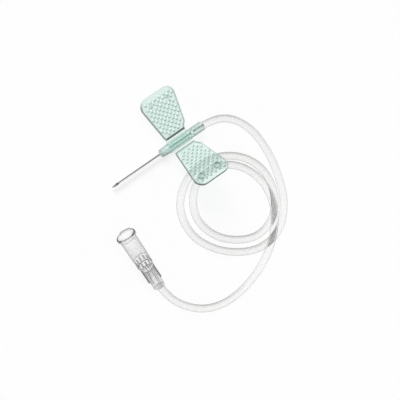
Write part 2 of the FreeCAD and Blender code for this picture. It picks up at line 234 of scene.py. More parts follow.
@dataclass(frozen=True)
class ClearPlastic:
    """A clear or translucent plastic, which is denser and darker where it is seen edge on.

    Attributes:
        name: the material's name.
        body: its colour seen straight through.
        rim: its colour along rims and walls.
        cover: how much the body covers what is behind it.
        rim_cover: how much a rim covers it.
        through: the colour that it gives to what is seen through it.
        spread: how narrow the rims are, higher being narrower.
        roughness: the surface's roughness.
        grain: height of the faint mould texture, in metres.
        wall: how far the attribute "wall" darkens the piece, which carries walls and rims and also painted shade.
        veil: whether the attribute "veil" says where the piece covers more.
        glow: how much of the light it sends on comes from behind.
        shade: how much of its cover counts for the shadow that it casts.
        frost: how much the piece covers where it is frosted.
        frost_from: the place along X, in metres, from which it is frosted.
        mottle: how much its tone and cover vary from place to place.
        layered: how much more it covers where it is seen through another layer of plastic.
    """

    name: str
    body: Colour
    rim: Colour
    cover: float
    rim_cover: float
    through: Colour = (1.0, 1.0, 1.0)
    spread: float = 3.0
    roughness: float = 0.25
    grain: float = 4e-6
    wall: float = 0.0
    veil: bool = False
    glow: float = 0.0
    shade: float = 0.3
    frost: float = 0.0
    frost_from: float = 0.0
    mottle: float = 0.03
    layered: float = 0.0

    def material(self) -> bpy.types.Material:
        """Builds the material: a clear film mixed with the plastic's own body by its cover.

        Formula: the density is how far the surface turns from the view, to the power of the
        spread, or its mark if that is more. The colour goes from the body's to the rim's, and
        the cover from its own to the rim's, by the density. The colour also goes to the rim's
        by the mottle, and both do where other plastic lies in front. Light that comes from
        behind takes the same two colours in the same shares.

        Returns:
            The material.
        """
        material, tree = new_material(self.name)
        path = tree.node("ShaderNodeLightPath")
        lamp = Value(tree, path.outputs["Is Shadow Ray"])
        cloudy = tree.cloud(*TONE_CLOUD)
        density = tree.value("ShaderNodeLayerWeight", "Facing", {"Blend": 0.5}) ** self.spread
        if self.wall:
            density = density.most(tree.mark("wall") * self.wall)
        bright = (1 - density) * (1 - cloudy * self.mottle)
        cover = density * (self.rim_cover - self.cover) + self.cover
        if self.layered:
            depth = Value(tree, path.outputs["Transparent Depth"])
            behind = (depth - OWN_WALLS).most(0.0).least(1.0) * (1 - lamp)
            bright = bright * (1 - behind * BEHIND_TONE)
            cover = cover + behind * self.layered
        if self.veil:
            cover = cover.most(tree.mark("veil"))
        if self.frost:
            along = tree.value("ShaderNodeSeparateXYZ", "X", {"Vector": tree.place()})
            ahead = ((along - self.frost_from) * FROST_RISE).most(0.0).least(1.0)
            cover = cover.most(ahead * self.frost)
        cover = cover * (cloudy * self.mottle + 1 - self.mottle / 2)
        cover = cover * (1 - lamp * (1 - self.shade))
        dark = 1 - bright
        grain = tree.node("ShaderNodeBump", {
            "Strength": GRAIN_STRENGTH, "Distance": self.grain,
            "Height": tree.cloud(*GRAIN_CLOUD)})
        shader = tree.node("ShaderNodeBsdfPrincipled", {
            "Base Color": tree.blend(dark, self.body, self.rim), "IOR": PLASTIC_IOR,
            "Roughness": cloudy * GLOSS_CHANGE + self.roughness, "Normal": grain})
        if self.glow:
            pale, deep = (tree.node("ShaderNodeBsdfTranslucent", {"Color": colour})
                          for colour in (self.body, self.rim))
            sent_on = tree.node("ShaderNodeMixShader", {0: dark, 1: pale, 2: deep})
            shader = tree.node("ShaderNodeMixShader", {0: self.glow, 1: shader, 2: sent_on})
        film = tree.node("ShaderNodeBsdfTransparent", {"Color": self.through})
        mixed = tree.node("ShaderNodeMixShader", {0: cover.least(1.0), 1: film, 2: shader})
        tree.node("ShaderNodeOutputMaterial", {"Surface": mixed})
        return material


@dataclass(frozen=True)
class DrawnSteel:
    """Polished steel with fine lines drawn along X.

    Attributes:
        name: the material's name.
        colour: its colour between the lines.
        dark: the colour that the lines go towards.
        tone: how far they go.
        roughness: the surface's least roughness.
        gloss_change: how much rougher a line is.
        lines: patches of the noise in a metre along X, Y and Z.
        line_depth: the lines' depth, in metres.
        line_strength: how strongly they bend the light.
    """

    name: str = "drawn_steel"
    colour: Colour = (0.86, 0.87, 0.88)
    dark: Colour = (0.62, 0.63, 0.64)
    tone: float = 0.6
    roughness: float = 0.16
    gloss_change: float = 0.1
    lines: tuple[float, float, float] = (60.0, 9000.0, 9000.0)
    line_depth: float = 2e-6
    line_strength: float = 0.3

    def material(self) -> bpy.types.Material:
        """Builds the material: noise stretched along X drives roughness, tone and bump.

        Returns:
            The material.
        """
        material, tree = new_material(self.name)
        lines = tree.node("ShaderNodeMapping", {"Vector": tree.place(), "Scale": self.lines})
        drawn = tree.value("ShaderNodeTexNoise", "Fac", {
            "Vector": lines, "Scale": 1.0, "Detail": 3.0})
        bump = tree.node("ShaderNodeBump", {
            "Strength": self.line_strength, "Distance": self.line_depth, "Height": drawn})
        shader = tree.node("ShaderNodeBsdfPrincipled", {
            "Base Color": tree.blend(drawn * self.tone, self.colour, self.dark),
            "Metallic": 1.0, "Roughness": drawn * self.gloss_change + self.roughness,
            "Normal": bump})
        tree.node("ShaderNodeOutputMaterial", {"Surface": shader})
        return material


# Mesh helpers


class Skin:
    """Gathers grids of points into one mesh. Points are millimetres in a piece's own frame."""

    def __init__(self) -> None:
        """Starts with nothing in it."""
        self.points: list[Array] = []
        self.faces: list[Array] = []
        self.marks: dict[str, list[Array]] = {"wall": [], "veil": []}
        self.count = 0

    def grid(self, points: Array, wall: Any = 0.0, veil: Any = 0.0, close_rows: bool = False,
             close_columns: bool = False) -> None:
        """Adds a grid as quads between neighbouring points.

        Args:
            points: array of rows by columns by three.
            wall: how dark each point is marked, for walls and rims and for painted shade, one number or an array.
            veil: how much each point at least covers what is behind it.
            close_rows: joins the last row to the first.
            close_columns: joins the last column to the first.
        """
        rows, columns = points.shape[:2]
        index = np.arange(rows * columns).reshape(rows, columns) + self.count
        if close_rows:
            index = np.vstack([index, index[:1]])
        if close_columns:
            index = np.hstack([index, index[:, :1]])
        corners = [index[:-1, :-1], index[1:, :-1], index[1:, 1:], index[:-1, 1:]]
        self.faces.append(np.stack(corners, axis=-1).reshape(-1, 4))
        self.points.append(points.reshape(-1, 3))
        for name, mark in (("wall", wall), ("veil", veil)):
            spread = np.broadcast_to(np.asarray(mark, float), (rows, columns))
            self.marks[name].append(spread.reshape(-1))
        self.count += rows * columns

    def build(self, name: str, place: Matrix, sharp: float = 40.0) -> bpy.types.Object:
        """Makes the object, with its doubles merged and its faces pointing outwards.

        Args:
            name: the piece's name.
            place: from the piece's frame in millimetres to the row frame in metres.
            sharp: edges that bend by more than this many degrees stay sharp.

        Returns:
            The new object, which sits at the origin.
        """
        turn = np.array(place.to_3x3(), float)
        points = np.vstack(self.points) @ turn.T * MM + np.array(place.translation, float)
        mesh = bpy.data.meshes.new(name)
        mesh.from_pydata(points, [], np.vstack(self.faces))
        for mark, values in self.marks.items():
            attribute = mesh.attributes.new(mark, "FLOAT", "POINT")
            attribute.data.foreach_set("value", np.concatenate(values).astype(np.float32))
        work = bmesh.new()
        work.from_mesh(mesh)
        bmesh.ops.remove_doubles(work, verts=work.verts, dist=MERGE)
        bmesh.ops.recalc_face_normals(work, faces=work.faces)
        work.to_mesh(mesh)
        work.free()
        mesh.polygons.foreach_set("use_smooth", np.ones(len(mesh.polygons), bool))
        mesh.set_sharp_from_angle(angle=math.radians(sharp))
        made = bpy.data.objects.new(name, mesh)
        bpy.context.scene.collection.objects.link(made)
        return made


def turned(outline: list[tuple[float, float]], steps: int) -> Array:
    """A surface of revolution about the X axis, as a grid.

    Formula: each outline point (station, radius) goes round as
    (station, radius cos a, radius sin a) for a from 0 to a full turn.

    Args:
        outline: (station, radius) points in order.
        steps: how many points go round.

    Returns:
        Array of outline points by steps by three.
    """
    line = np.array(outline, float)
    angle = np.linspace(0, 2 * math.pi, steps, endpoint=False)
    station = np.repeat(line[:, :1], steps, axis=1)
    return np.stack([station, line[:, 1:] * np.cos(angle), line[:, 1:] * np.sin(angle)], axis=-1)


def rounded(corners: list[tuple[float, float, float]], steps: int = 7) -> list[tuple[float, float]]:
    """Rounds the corners of an open outline.

    Formula: a corner of radius r is cut back by r times the cotangent of half its angle, and
    an arc about the point r off both its sides fills it.

    Args:
        corners: (station, radius from the axis, corner radius) points.
        steps: points along each arc.

    Returns:
        The outline with its corners as arcs.
    """
    line: list[tuple[float, float]] = []
    for number, (x, y, radius) in enumerate(corners):
        here = np.array([x, y])
        if not radius:
            line.append((x, y))
            continue
        back = np.array(corners[number - 1][:2]) - here
        ahead = np.array(corners[(number + 1) % len(corners)][:2]) - here
        back /= np.linalg.norm(back)
        ahead /= np.linalg.norm(ahead)
        half = math.acos(np.clip(back @ ahead, -1, 1)) / 2
        middle = (back + ahead) / np.linalg.norm(back + ahead)
        centre = here + middle * radius / math.sin(half)
        first = here + back * radius / math.tan(half) - centre
        last = here + ahead * radius / math.tan(half) - centre
        share = np.linspace(0, 1, steps)[:, None]
        sweep = math.pi - 2 * half
        arc = (np.sin((1 - share) * sweep) * first + np.sin(share * sweep) * last) / math.sin(sweep)
        line.extend(map(tuple, centre + arc))
    return line


# Where things are


@dataclass
class HubPlace:
    """Where the hub's axis and the hinges lie, read from the needle and the joints."""

    def axis(self) -> Vector:
        """The point on the hub's axis that is level with the hinges.

        Returns:
            The point, in metres.
        """
        low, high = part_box("needle_cannula")
        hinge = Vector(frame["joints"][0]["pos_m"])
        return Vector((hinge.x, (low.y + high.y) / 2, (low.z + high.z) / 2))

    def matrix(self) -> Matrix:
        """From the hub's own frame, X along the needle, to the row frame."""
        return Matrix.Translation(self.axis())

    def hinge(self, side: WingSide) -> Vector:
        """The middle of one wing's hinge, in metres."""
        found = [j for j in frame["joints"] if j["name"].startswith(side.value)]
        return Vector(found[0]["pos_m"])

    def outward(self, side: WingSide) -> Vector:
        """The direction in which one wing points away from the hub."""
        return (self.hinge(side) - self.axis()).normalized()

    def wing_matrix(self, side: WingSide) -> Matrix:
        """From a wing's frame, X along the needle and Y outwards, to the row frame.

        Args:
            side: which wing.

        Returns:
            The matrix, from the wing's own frame to the row frame.
        """
        along = Vector((1, 0, 0))
        outward = self.outward(side)
        upward = Vector((0, -outward.z, outward.y))
        if upward.z < 0:
            upward.negate()
        columns = Matrix((along, outward, upward)).transposed()
        return Matrix.Translation(self.hinge(side)) @ columns.to_4x4()


# Wings


@dataclass
class Wing:
    """One wing panel in its own frame: X along the needle, Y outwards from the hinge.

    Sizes are millimetres, and marks go from 0, clear, to 1, dark. clear says how far the domes keep from a stud.
    The rim's tones are its marks at the outer end, on the needle's side, on the tube's side and at the root:
    tinted plastic is darker seen edge on, and how dark each side is follows how the lamp falls on it, which is
    painted shade.
    """

    side: WingSide
    place: HubPlace
    root: float = 7.7
    step: float = 0.36
    length: float = 14.7
    thickness: float = 0.95
    flare: float = 3.2
    shoulder_width: float = 1.15
    shoulder_start: float = 1.0
    shoulder_end: float = 2.2
    shoulder_radius: float = 0.8
    corner_radius: float = 2.8
    corner_steps: int = 28
    edge: float = 0.2
    edge_steps: int = 6
    columns: int = 190
    even_rows: int = 170
    end_rows: int = 56
    dome_pitch: float = 1.85
    dome_row: float = 0.87
    dome_radius: float = 0.6
    dome_height: float = 0.42
    flank: float = 0.8
    flank_most: float = 0.85
    # Painted shade: how dark a dome's flank that faces from the lamp is marked, the most it gets, and how far the
    # slope across counts.
    crescent_shade: float = 0.55
    crescent_shade_most: float = 0.7
    crescent_shade_lean: float = 0.17
    dome_border: float = 0.8
    dome_start: float = 1.5
    seam: float = 0.45
    thin_seam: float = 0.3
    thin_seam_mark: float = 0.6
    second_line: float = 0.85
    second_line_half: float = 0.1
    second_line_mark: float = 0.3
    side_line: float = 0.08
    stud_inset: float = 3.0
    stud_forward: float = 3.3
    stud_rearward: float = 3.1
    stud_mark: float = 0.25
    peg_steps: int = 40
    ring_steps: int = 48
    peg_radius: float = 0.55
    peg_height: float = 0.8
    peg_round: float = 0.3
    peg_sink: float = 0.05
    ring_radius: float = 1.15
    ring_bore: float = 0.8
    ring_height: float = 0.45
    ring_rounds: tuple[float, float] = (0.1, 0.12)
    pocket: float = 0.5
    clear: dict[WingSide, float] = field(default_factory=lambda: {
        WingSide.PEGS: 0.75, WingSide.RINGS: 1.35})
    # Painted shade over the rim's own darkness: each side's tone follows how the lamp falls on it.
    rim_shade_tones: dict[WingSide, tuple[float, float, float, float]] = field(default_factory=lambda: {
        WingSide.PEGS: (0.25, 0.95, 0.6, 1.0), WingSide.RINGS: (0.95, 0.95, 0.3, 0.85)})

    def studs(self) -> list[tuple[float, float]]:
        """The two places of the pegs, or of the rings."""
        y = self.length - self.stud_inset
        return [(self.stud_forward, y), (-self.stud_rearward, y)]

    def outline(self) -> Array:
        """The panel's outline from its needle-side root corner, outwards and back to the hub.

        Returns:
            Array of points by two.
        """
        half = self.root / 2
        corners = [
            (half, self.step, 0.0),
            (half + self.flare, self.length, self.corner_radius),
            (-half - self.flare, self.length, self.corner_radius),
            (-half - self.shoulder_width, self.shoulder_end, self.shoulder_radius),
            (-half, self.shoulder_start, 0.0),
            (-half, self.step, 0.0),
        ]
        return np.array(rounded(corners, self.corner_steps))

    def inset(self, distance: float) -> Array:
        """The outline moved inwards along its own normals.

        Formula: at each point the normals of the two runs that meet there are added and
        divided by one more than the cosine between the runs, which keeps both at the distance.

        Args:
            distance: how far inwards.

        Returns:
            Array of points by two.
        """
        line = self.outline()
        ahead = np.roll(line, -1, axis=0) - line
        ahead /= np.linalg.norm(ahead, axis=1, keepdims=True)
        behind = np.roll(ahead, 1, axis=0)
        normal = np.stack([-ahead[:, 1] - behind[:, 1], ahead[:, 0] + behind[:, 0]], axis=1)
        normal /= 1 + (ahead * behind).sum(axis=1, keepdims=True)
        return line + normal * distance

    def sides(self, rows: Array, distance: float) -> tuple[Array, Array]:
        """The outline's X on the tube's side and on the needle's side, at each row.

        Args:
            rows: the rows' distances from the hinge.
            distance: how far inside the outline.

        Returns:
            The two arrays of X, one number a row.
        """
        line = self.inset(distance)
        top = int(np.argmax(line[:, 1] > line[:, 1].max() - 1e-9))
        last = len(line) - int(np.argmax(line[::-1, 1] > line[:, 1].max() - 1e-9)) - 1
        needle_side = line[:top + 1]
        tube_side = line[last:][::-1]
        return (np.interp(rows, tube_side[:, 1], tube_side[:, 0]),
                np.interp(rows, needle_side[:, 1], needle_side[:, 0]))

    def rows(self) -> Array:
        """Rows from root to outer end, closer together round the end's corners.

        Returns:
            Each row's distance from the hinge.
        """
        start = self.step + self.edge
        end = self.length - self.edge
        bend = self.corner_radius
        even = np.linspace(start, end - bend, self.even_rows)
        angle = np.linspace(0, math.pi / 2, self.end_rows)[1:]
        return np.concatenate([even, end - bend + bend * np.sin(angle)])

    def relief(self, x: Array, y: Array) -> Array:
        """Height of the grip domes over the panel's upper face.

        Formula: the dome's height times one less the share of its radius, squared. The
        middles lie in rows, each half a pitch along from the last, and a dome is left out near
        the border and near a stud.

        Args:
            x: distances along the needle.
            y: distances from the hinge.

        Returns:
            Heights in millimetres.
        """
        height = np.zeros_like(x)
        for shift in (0.0, 0.5):
            row = np.round(y / self.dome_row / 2 - shift) + shift
            middle_y = row * self.dome_row * 2
            middle_x = (np.round(x / self.dome_pitch - shift) + shift) * self.dome_pitch
            low, high = self.sides(middle_y.ravel(), self.dome_border)
            low, high = low.reshape(x.shape), high.reshape(x.shape)
            inside = (middle_x > low) & (middle_x < high)
            inside &= (middle_y > self.dome_start) & (middle_y < self.length - self.dome_border)
            for stud_x, stud_y in self.studs():
                inside &= np.hypot(middle_x - stud_x, middle_y - stud_y) > self.clear[self.side]
            away = np.hypot(x - middle_x, y - middle_y) / self.dome_radius
            dome = self.dome_height * np.clip(1 - away ** 2, 0, None)
            height = np.maximum(height, np.where(inside, dome, 0))
        return height

    def panel(self, skin: Skin) -> None:
        """Adds the panel: upper face with domes, rounded edge all round, and plain underside.

        Formula: a point of either face is a row's left end plus a share of its width. A dome's flank covers more
        as it gets steeper, and its flank away from the lamp is marked darker, which is painted shade.

        Args:
            skin: what the panel is added to.
        """
        rows = self.rows()
        low, high = self.sides(rows, self.edge)
        share = np.linspace(0, 1, self.columns)
        x = low[:, None] + share * (high - low)[:, None]
        y = np.repeat(rows[:, None], self.columns, axis=1)
        half = self.thickness / 2
        relief = self.relief(x, y)
        top = half + relief
        slope = np.gradient(relief, axis=0) / np.gradient(y, axis=0)
        slope_across = np.gradient(relief, axis=1) / np.gradient(x, axis=1)
        flank = np.clip(np.hypot(slope, slope_across) * self.flank, 0, self.flank_most)
        # Painted shade: each dome's flank that faces from the lamp is marked darker, as the crescent of shade that
        # the lamp leaves.
        lamp_side = 1.0 if self.side is WingSide.PEGS else -1.0
        away = slope * lamp_side + slope_across * self.crescent_shade_lean
        marks = np.maximum(self.root_seam_shade(y), np.clip(away * self.crescent_shade, 0, self.crescent_shade_most))
        # The line along the needle's side takes that side's rim tone, in part painted shade.
        needle_shade_tone = self.rim_shade_tones[self.side][1]
        marks = np.where(high[:, None] - x < self.side_line, np.maximum(marks, needle_shade_tone), marks)
        if self.side is WingSide.RINGS:
            for stud_x, stud_y in self.studs():
                hole = np.hypot(x - stud_x, y - stud_y) < (self.ring_bore + self.ring_radius) / 2
                top = np.where(hole, half - self.pocket, top)
        skin.grid(np.stack([x, y, top], axis=-1), marks, flank)
        skin.grid(np.stack([x, y, np.full_like(x, -half)], axis=-1))
        flat = np.stack([x, y], axis=-1)
        border = [flat[0, :-1], flat[:-1, -1], flat[-1, :0:-1], flat[:0:-1, 0]]
        self.rim(skin, np.concatenate(border))

    def rim(self, skin: Skin, loop: Array) -> None:
        """Adds the rounded edge that joins the two faces.

        Formula: the edge goes out by the edge radius times the sine of an angle, and down by
        the radius times one less its cosine, then the same way back under.

        Args:
            skin: what it is added to.
            loop: the border of either face, points by two.
        """
        half = self.thickness / 2
        ahead = np.roll(loop, -1, axis=0) - np.roll(loop, 1, axis=0)
        ahead /= np.linalg.norm(ahead, axis=1, keepdims=True)
        outward = np.stack([ahead[:, 1], -ahead[:, 0]], axis=1)
        angle = np.linspace(0, math.pi / 2, self.edge_steps)
        reach = self.edge * np.sin(angle)
        drop = self.edge * (1 - np.cos(angle))
        reach = np.concatenate([reach, reach[::-1]])
        level = np.concatenate([half - drop, drop[::-1] - half])
        ring = loop[None] + outward[None] * reach[:, None, None]
        level = np.repeat(level[:, None], len(loop), axis=1)
        marks = (reach / self.edge)[:, None] * self.rim_shade_marks(outward)[None]
        skin.grid(np.concatenate([ring, level[..., None]], axis=-1), marks, close_columns=True)

    def rim_shade_marks(self, outward: Array) -> Array:
        """How dark the rim is where it faces each way: painted shade, set by how the lamp falls on each side.

        Formula: each of the four sides' own mark times the part of the rim's direction that
        points to that side, squared, and added up.

        Args:
            outward: the rim's directions, points by two.

        Returns:
            One mark a point.
        """
        end, needle, tube, root = self.rim_shade_tones[self.side]
        along, out = outward[:, 0], outward[:, 1]
        return (needle * np.clip(along, 0, 1) ** 2 + tube * np.clip(-along, 0, 1) ** 2
                + end * np.clip(out, 0, 1) ** 2 + root * np.clip(-out, 0, 1) ** 2)

    def root_seam_shade(self, y: Array) -> Array:
        """The marks along the root: one dark seam on the pegs' wing, two thin lines on the other. The seam is in
        part painted shade: it is darkest on the pegs' wing, whose root faces from the lamp.

        Args:
            y: distances from the hinge.

        Returns:
            One mark a point.
        """
        inward = y - self.step
        if self.side is WingSide.PEGS:
            return np.where(inward < self.seam, 1.0, 0.0)
        thin = np.where(inward < self.thin_seam, self.thin_seam_mark, 0.0)
        second = np.abs(inward - self.second_line) < self.second_line_half
        return np.where(second, self.second_line_mark, thin)

    def add_studs(self, skin: Skin) -> None:
        """Adds the two pegs, or the two rings round their pockets, as turned shapes.

        Args:
            skin: what they are added to.
        """
        half = self.thickness / 2
        for x, y in self.studs():
            if self.side is WingSide.PEGS:
                top = half + self.peg_height
                foot = half - self.peg_sink
                line = [(foot, 0.0)]
                line += rounded([(foot, self.peg_radius, 0.0),
                                 (top, self.peg_radius, self.peg_round), (top, 0.0, 0.0)])
                upright = turned(line, self.peg_steps)
            else:
                top = half + self.ring_height
                floor = half - self.pocket
                inner, outer = self.ring_rounds
                line = rounded([(floor, self.ring_bore, 0.0), (top, self.ring_bore, inner),
                                (top, self.ring_radius, outer), (floor, self.ring_radius, 0.0)])
                upright = turned(line + line[:1], self.ring_steps)
            spun = np.stack([upright[..., 1] + x, upright[..., 2] + y, upright[..., 0]], axis=-1)
            skin.grid(spun, self.stud_mark, close_columns=True)

    def build(self, finish: bpy.types.Material) -> bpy.types.Object:
        """Builds the wing, dresses it, and lets it ride on its own body.

        Args:
            finish: its material.

        Returns:
            The wing's panel with its studs.
        """
        skin = Skin()
        self.panel(skin)
        self.add_studs(skin)
        made = skin.build(f"{self.side.value}_wing_panel", self.place.wing_matrix(self.side))
        made.data.materials.append(finish)
        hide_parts(f"{self.side.value}_wing")
        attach(made, "lower_wing" if self.side is WingSide.PEGS else "upper_wing")
        return made


# Sleeve and webs


@dataclass
class Sleeve:
    """The soft sleeve on the hub's core, and the webs that join it to the wings.

    Sizes are millimetres. A web is laid out in its wing's frame, from its hinge.
    """

    place: HubPlace
    steps: int = 72
    length: float = 8.34
    radius: float = 1.65
    bore: float = 1.22
    edge: float = 0.15
    root: float = 7.7
    hinge: float = 2.3
    web: float = 0.5
    web_root: float = 1.0
    web_sink: float = 0.12
    web_end: float = 0.62
    web_rows: int = 34
    web_columns: int = 26
    fall_before: float = 0.2
    fall_length: float = 0.45
    seam: float = 0.02
    end_mark: float = 0.15
    bend_from: float = -0.3
    bend_to: float = 0.25

    def build_tube(self, finish: bpy.types.Material) -> bpy.types.Object:
        """Builds the sleeve's tube as one closed turned shape, with rounded outer rims.

        Args:
            finish: its material.

        Returns:
            The tube.
        """
        half = self.length / 2
        line = rounded([(-half, self.bore, 0.0), (-half, self.radius, self.edge),
                        (half, self.radius, self.edge), (half, self.bore, 0.0)])
        skin = Skin()
        skin.grid(turned(line, self.steps), close_rows=True, close_columns=True)
        made = skin.build("sleeve_tube", self.place.matrix())
        made.data.materials.append(finish)
        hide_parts("wing_sleeve")
        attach(made, "set")
        return made

    def build_web(self, side: WingSide, finish: bpy.types.Material) -> bpy.types.Object:
        """Builds one web: a strip that thins from the sleeve to the hinge.

        Formula: the thickness runs from its root value to its thin value as a cosine fall
        that starts inside the sleeve's wall, and stays thin from there.

        Args:
            side: which wing's web.
            finish: its material.

        Returns:
            The web.
        """
        across = np.linspace(-self.hinge + self.bore + self.web_sink, self.web_end, self.web_rows)
        from_outside = across + self.hinge - self.radius
        fall = np.clip((from_outside + self.fall_before) / self.fall_length, 0, 1)
        thick = self.web_root + (self.web - self.web_root) * (1 - np.cos(math.pi * fall)) / 2
        along = np.linspace(-1, 1, self.web_columns) * self.root / 2
        top = np.stack(np.broadcast_arrays(along[None], across[:, None], thick[:, None] / 2), -1)
        base = top * np.array([1, 1, -1])
        skin = Skin()
        # In part painted shade: on the pegs' side the web's top is marked dark from the hinge on, with its wing's
        # root seam, which faces from the lamp.
        reach = self.seam if side is WingSide.PEGS else np.inf
        skin.grid(top, np.where(across > reach, 1.0, 0.0)[:, None])
        skin.grid(base)
        for pick in (np.s_[0, :], np.s_[-1, :], np.s_[:, 0], np.s_[:, -1]):
            skin.grid(np.stack([top[pick], base[pick]]), self.end_mark)
        made = skin.build(f"{side.value}_web", self.place.wing_matrix(side))
        made.data.materials.append(finish)
        hinge, outward = self.place.hinge(side), self.place.outward(side)
        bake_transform(made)
        return made


# Tube


@dataclass
class InfusionTube:
    """The soft clear tube. Its route repeats the CAD tube's points, and sizes are metres.

    shade_side is the way to the side that looks darker, and held_side the way to the dark line
    in the hub. Both have a mark, and a power that says how narrow it is.
    """

    radius: float = 0.0012
    bore: float = 0.00075
    length: float = 0.3057
    inserted: float = 0.004
    stations: int = 620
    steps: int = 36
    shade_side: tuple[float, float, float] = (-0.52, -0.854, 0.0)
    shade_mark: float = 0.85
    shade_power: float = 1.5
    held_side: tuple[float, float, float] = (0.0, -0.4, 0.92)
    held_mark: float = 0.95
    held_power: float = 14.0
    hub_exit: tuple[float, float, float] = (-0.0184, 0.002273, 0.00165)
    route: tuple[tuple[float, float, float], ...] = (
        (-0.0144, 0.002273, 0.00165), (-0.0210, 0.002273, 0.00165),
        (-0.0284, 0.0050, 0.0012), (-0.0337, 0.0120, 0.0012), (-0.0356, 0.0208, 0.0012),
        (-0.0354, 0.0297, 0.0012), (-0.0333, 0.0386, 0.0012), (-0.0274, 0.0456, 0.0012),
        (-0.0184, 0.0468, 0.0012), (-0.0099, 0.0431, 0.0012), (-0.0029, 0.0371, 0.0012),
        (0.0017, 0.0291, 0.0012), (0.0012, 0.0197, 0.0012), (-0.0056, 0.0136, 0.0012),
        (-0.0150, 0.0123, 0.0012), (-0.0236, 0.0156, 0.0012), (-0.0302, 0.0222, 0.0012),
        (-0.0323, 0.0310, 0.0012), (-0.0288, 0.0399, 0.0012), (-0.0203, 0.0432, 0.0012),
        (-0.0116, 0.0398, 0.0012), (-0.0049, 0.0335, 0.0012), (-0.0022, 0.0248, 0.0012),
        (-0.0069, 0.0167, 0.0012), (-0.0160, 0.0150, 0.0012), (-0.0244, 0.0197, 0.0012),
        (-0.0293, 0.0276, 0.0012), (-0.0286, 0.0362, 0.00348), (-0.0233, 0.0441, 0.00432),
        (-0.0170, 0.0499, 0.00312), (-0.0091, 0.0539, 0.0012), (0.0003, 0.0548, 0.0012),
        (0.0088, 0.0522, 0.0012), (0.0153, 0.0462, 0.0012),
        (0.018668, 0.039552, 0.001747), (0.019764, 0.033073, 0.002361))

    def line(self) -> Array:
        """Points along the tube's own line, evenly spaced, read from one NURBS spline.

        Returns:
            Array of stations by three, in metres.
        """
        curve = bpy.data.curves.new("tube_line", "CURVE")
        curve.dimensions = "3D"
        spline = curve.splines.new("NURBS")
        spline.points.add(len(self.route) - 1)
        spline.points.foreach_set("co", np.insert(np.array(self.route), 3, 1, axis=1).ravel())
        spline.order_u = 3
        spline.use_endpoint_u = True
        spline.resolution_u = 16
        holder = bpy.data.objects.new("tube_line", curve)
        mesh = bpy.data.meshes.new_from_object(holder)
        points = np.zeros(len(mesh.vertices) * 3)
        mesh.vertices.foreach_get("co", points)
        bpy.data.objects.remove(holder)
        points = points.reshape(-1, 3)
        run = np.concatenate([[0], np.cumsum(np.linalg.norm(np.diff(points, axis=0), axis=1))])
        even = np.linspace(0, run[-1], self.stations)
        return np.stack([np.interp(even, run, points[:, axis]) for axis in range(3)], axis=1)

    def build(self, finish: bpy.types.Material, bore: bpy.types.Material,
              held: bpy.types.Material, fitting: bpy.types.Object) -> bpy.types.Object:
        """Formula: a circle of the radius stands square to the line at each point, on the line's
        level normal and the normal across both. The outer wall runs one way and the bore's
        wall comes back, so that both ends are closed. The mark is the part of the outer
        normal that points to the lamp's side, to a power: a clear rod throws the light across,
        so that side looks darker. In the hub the mark is a line near the top, which is the bore
        seen through two walls: the part of the normal to that side, to a high power.

        Args:
            finish: the outer wall's material.
            bore: the inner wall's material.
            held: the material of the two ends that are pushed into the hub and the connector.
            fitting: the connector on its end; not used.

        Returns:
            The tube.
        """
        line = self.line()
        ahead = np.gradient(line, axis=0)
        ahead /= np.linalg.norm(ahead, axis=1, keepdims=True)
        level = np.cross(ahead, [0.0, 0.0, 1.0])
        level /= np.linalg.norm(level, axis=1, keepdims=True)
        upright = np.cross(level, ahead)
        angle = np.linspace(0, 2 * math.pi, self.steps, endpoint=False)[None, :, None]
        circle = np.cos(angle) * level[:, None] + np.sin(angle) * upright[:, None]
        outer = line[:, None] + circle * self.radius
        inner = (line[:, None] + circle * self.bore)[::-1]
        skin = Skin()
        # Painted shade: the tube's side towards the lamp is marked darker.
        shaded = np.clip(circle @ np.array(self.shade_side), 0, 1) ** self.shade_power
        marks = shaded * self.shade_mark
        in_hub = int(self.inserted / self.length * len(line)) + 1
        bore_line = np.clip(circle[:in_hub] @ np.array(self.held_side), 0, 1)
        marks[:in_hub] = bore_line ** self.held_power * self.held_mark
        marks = np.concatenate([marks, np.zeros_like(marks)])
        skin.grid(np.concatenate([outer, inner]) / MM, marks, close_rows=True, close_columns=True)
        made = skin.build("clear_tube", Matrix.Identity(4))
        for material in (finish, bore, held):
            made.data.materials.append(material)
        row = np.arange(len(made.data.polygons)) // self.steps
        inside = row >= len(line) - 1
        station = np.where(inside, 2 * len(line) - 2 - row, row) * self.length / len(line)
        ends = (station < self.inserted) | (station > self.length - self.inserted)
        index = np.where(ends, 2, np.where(inside, 1, 0)).astype(np.int32)
        made.data.polygons.foreach_set("material_index", index)
        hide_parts("infusion_tube")
        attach(made, "set")
        return made


# Connector


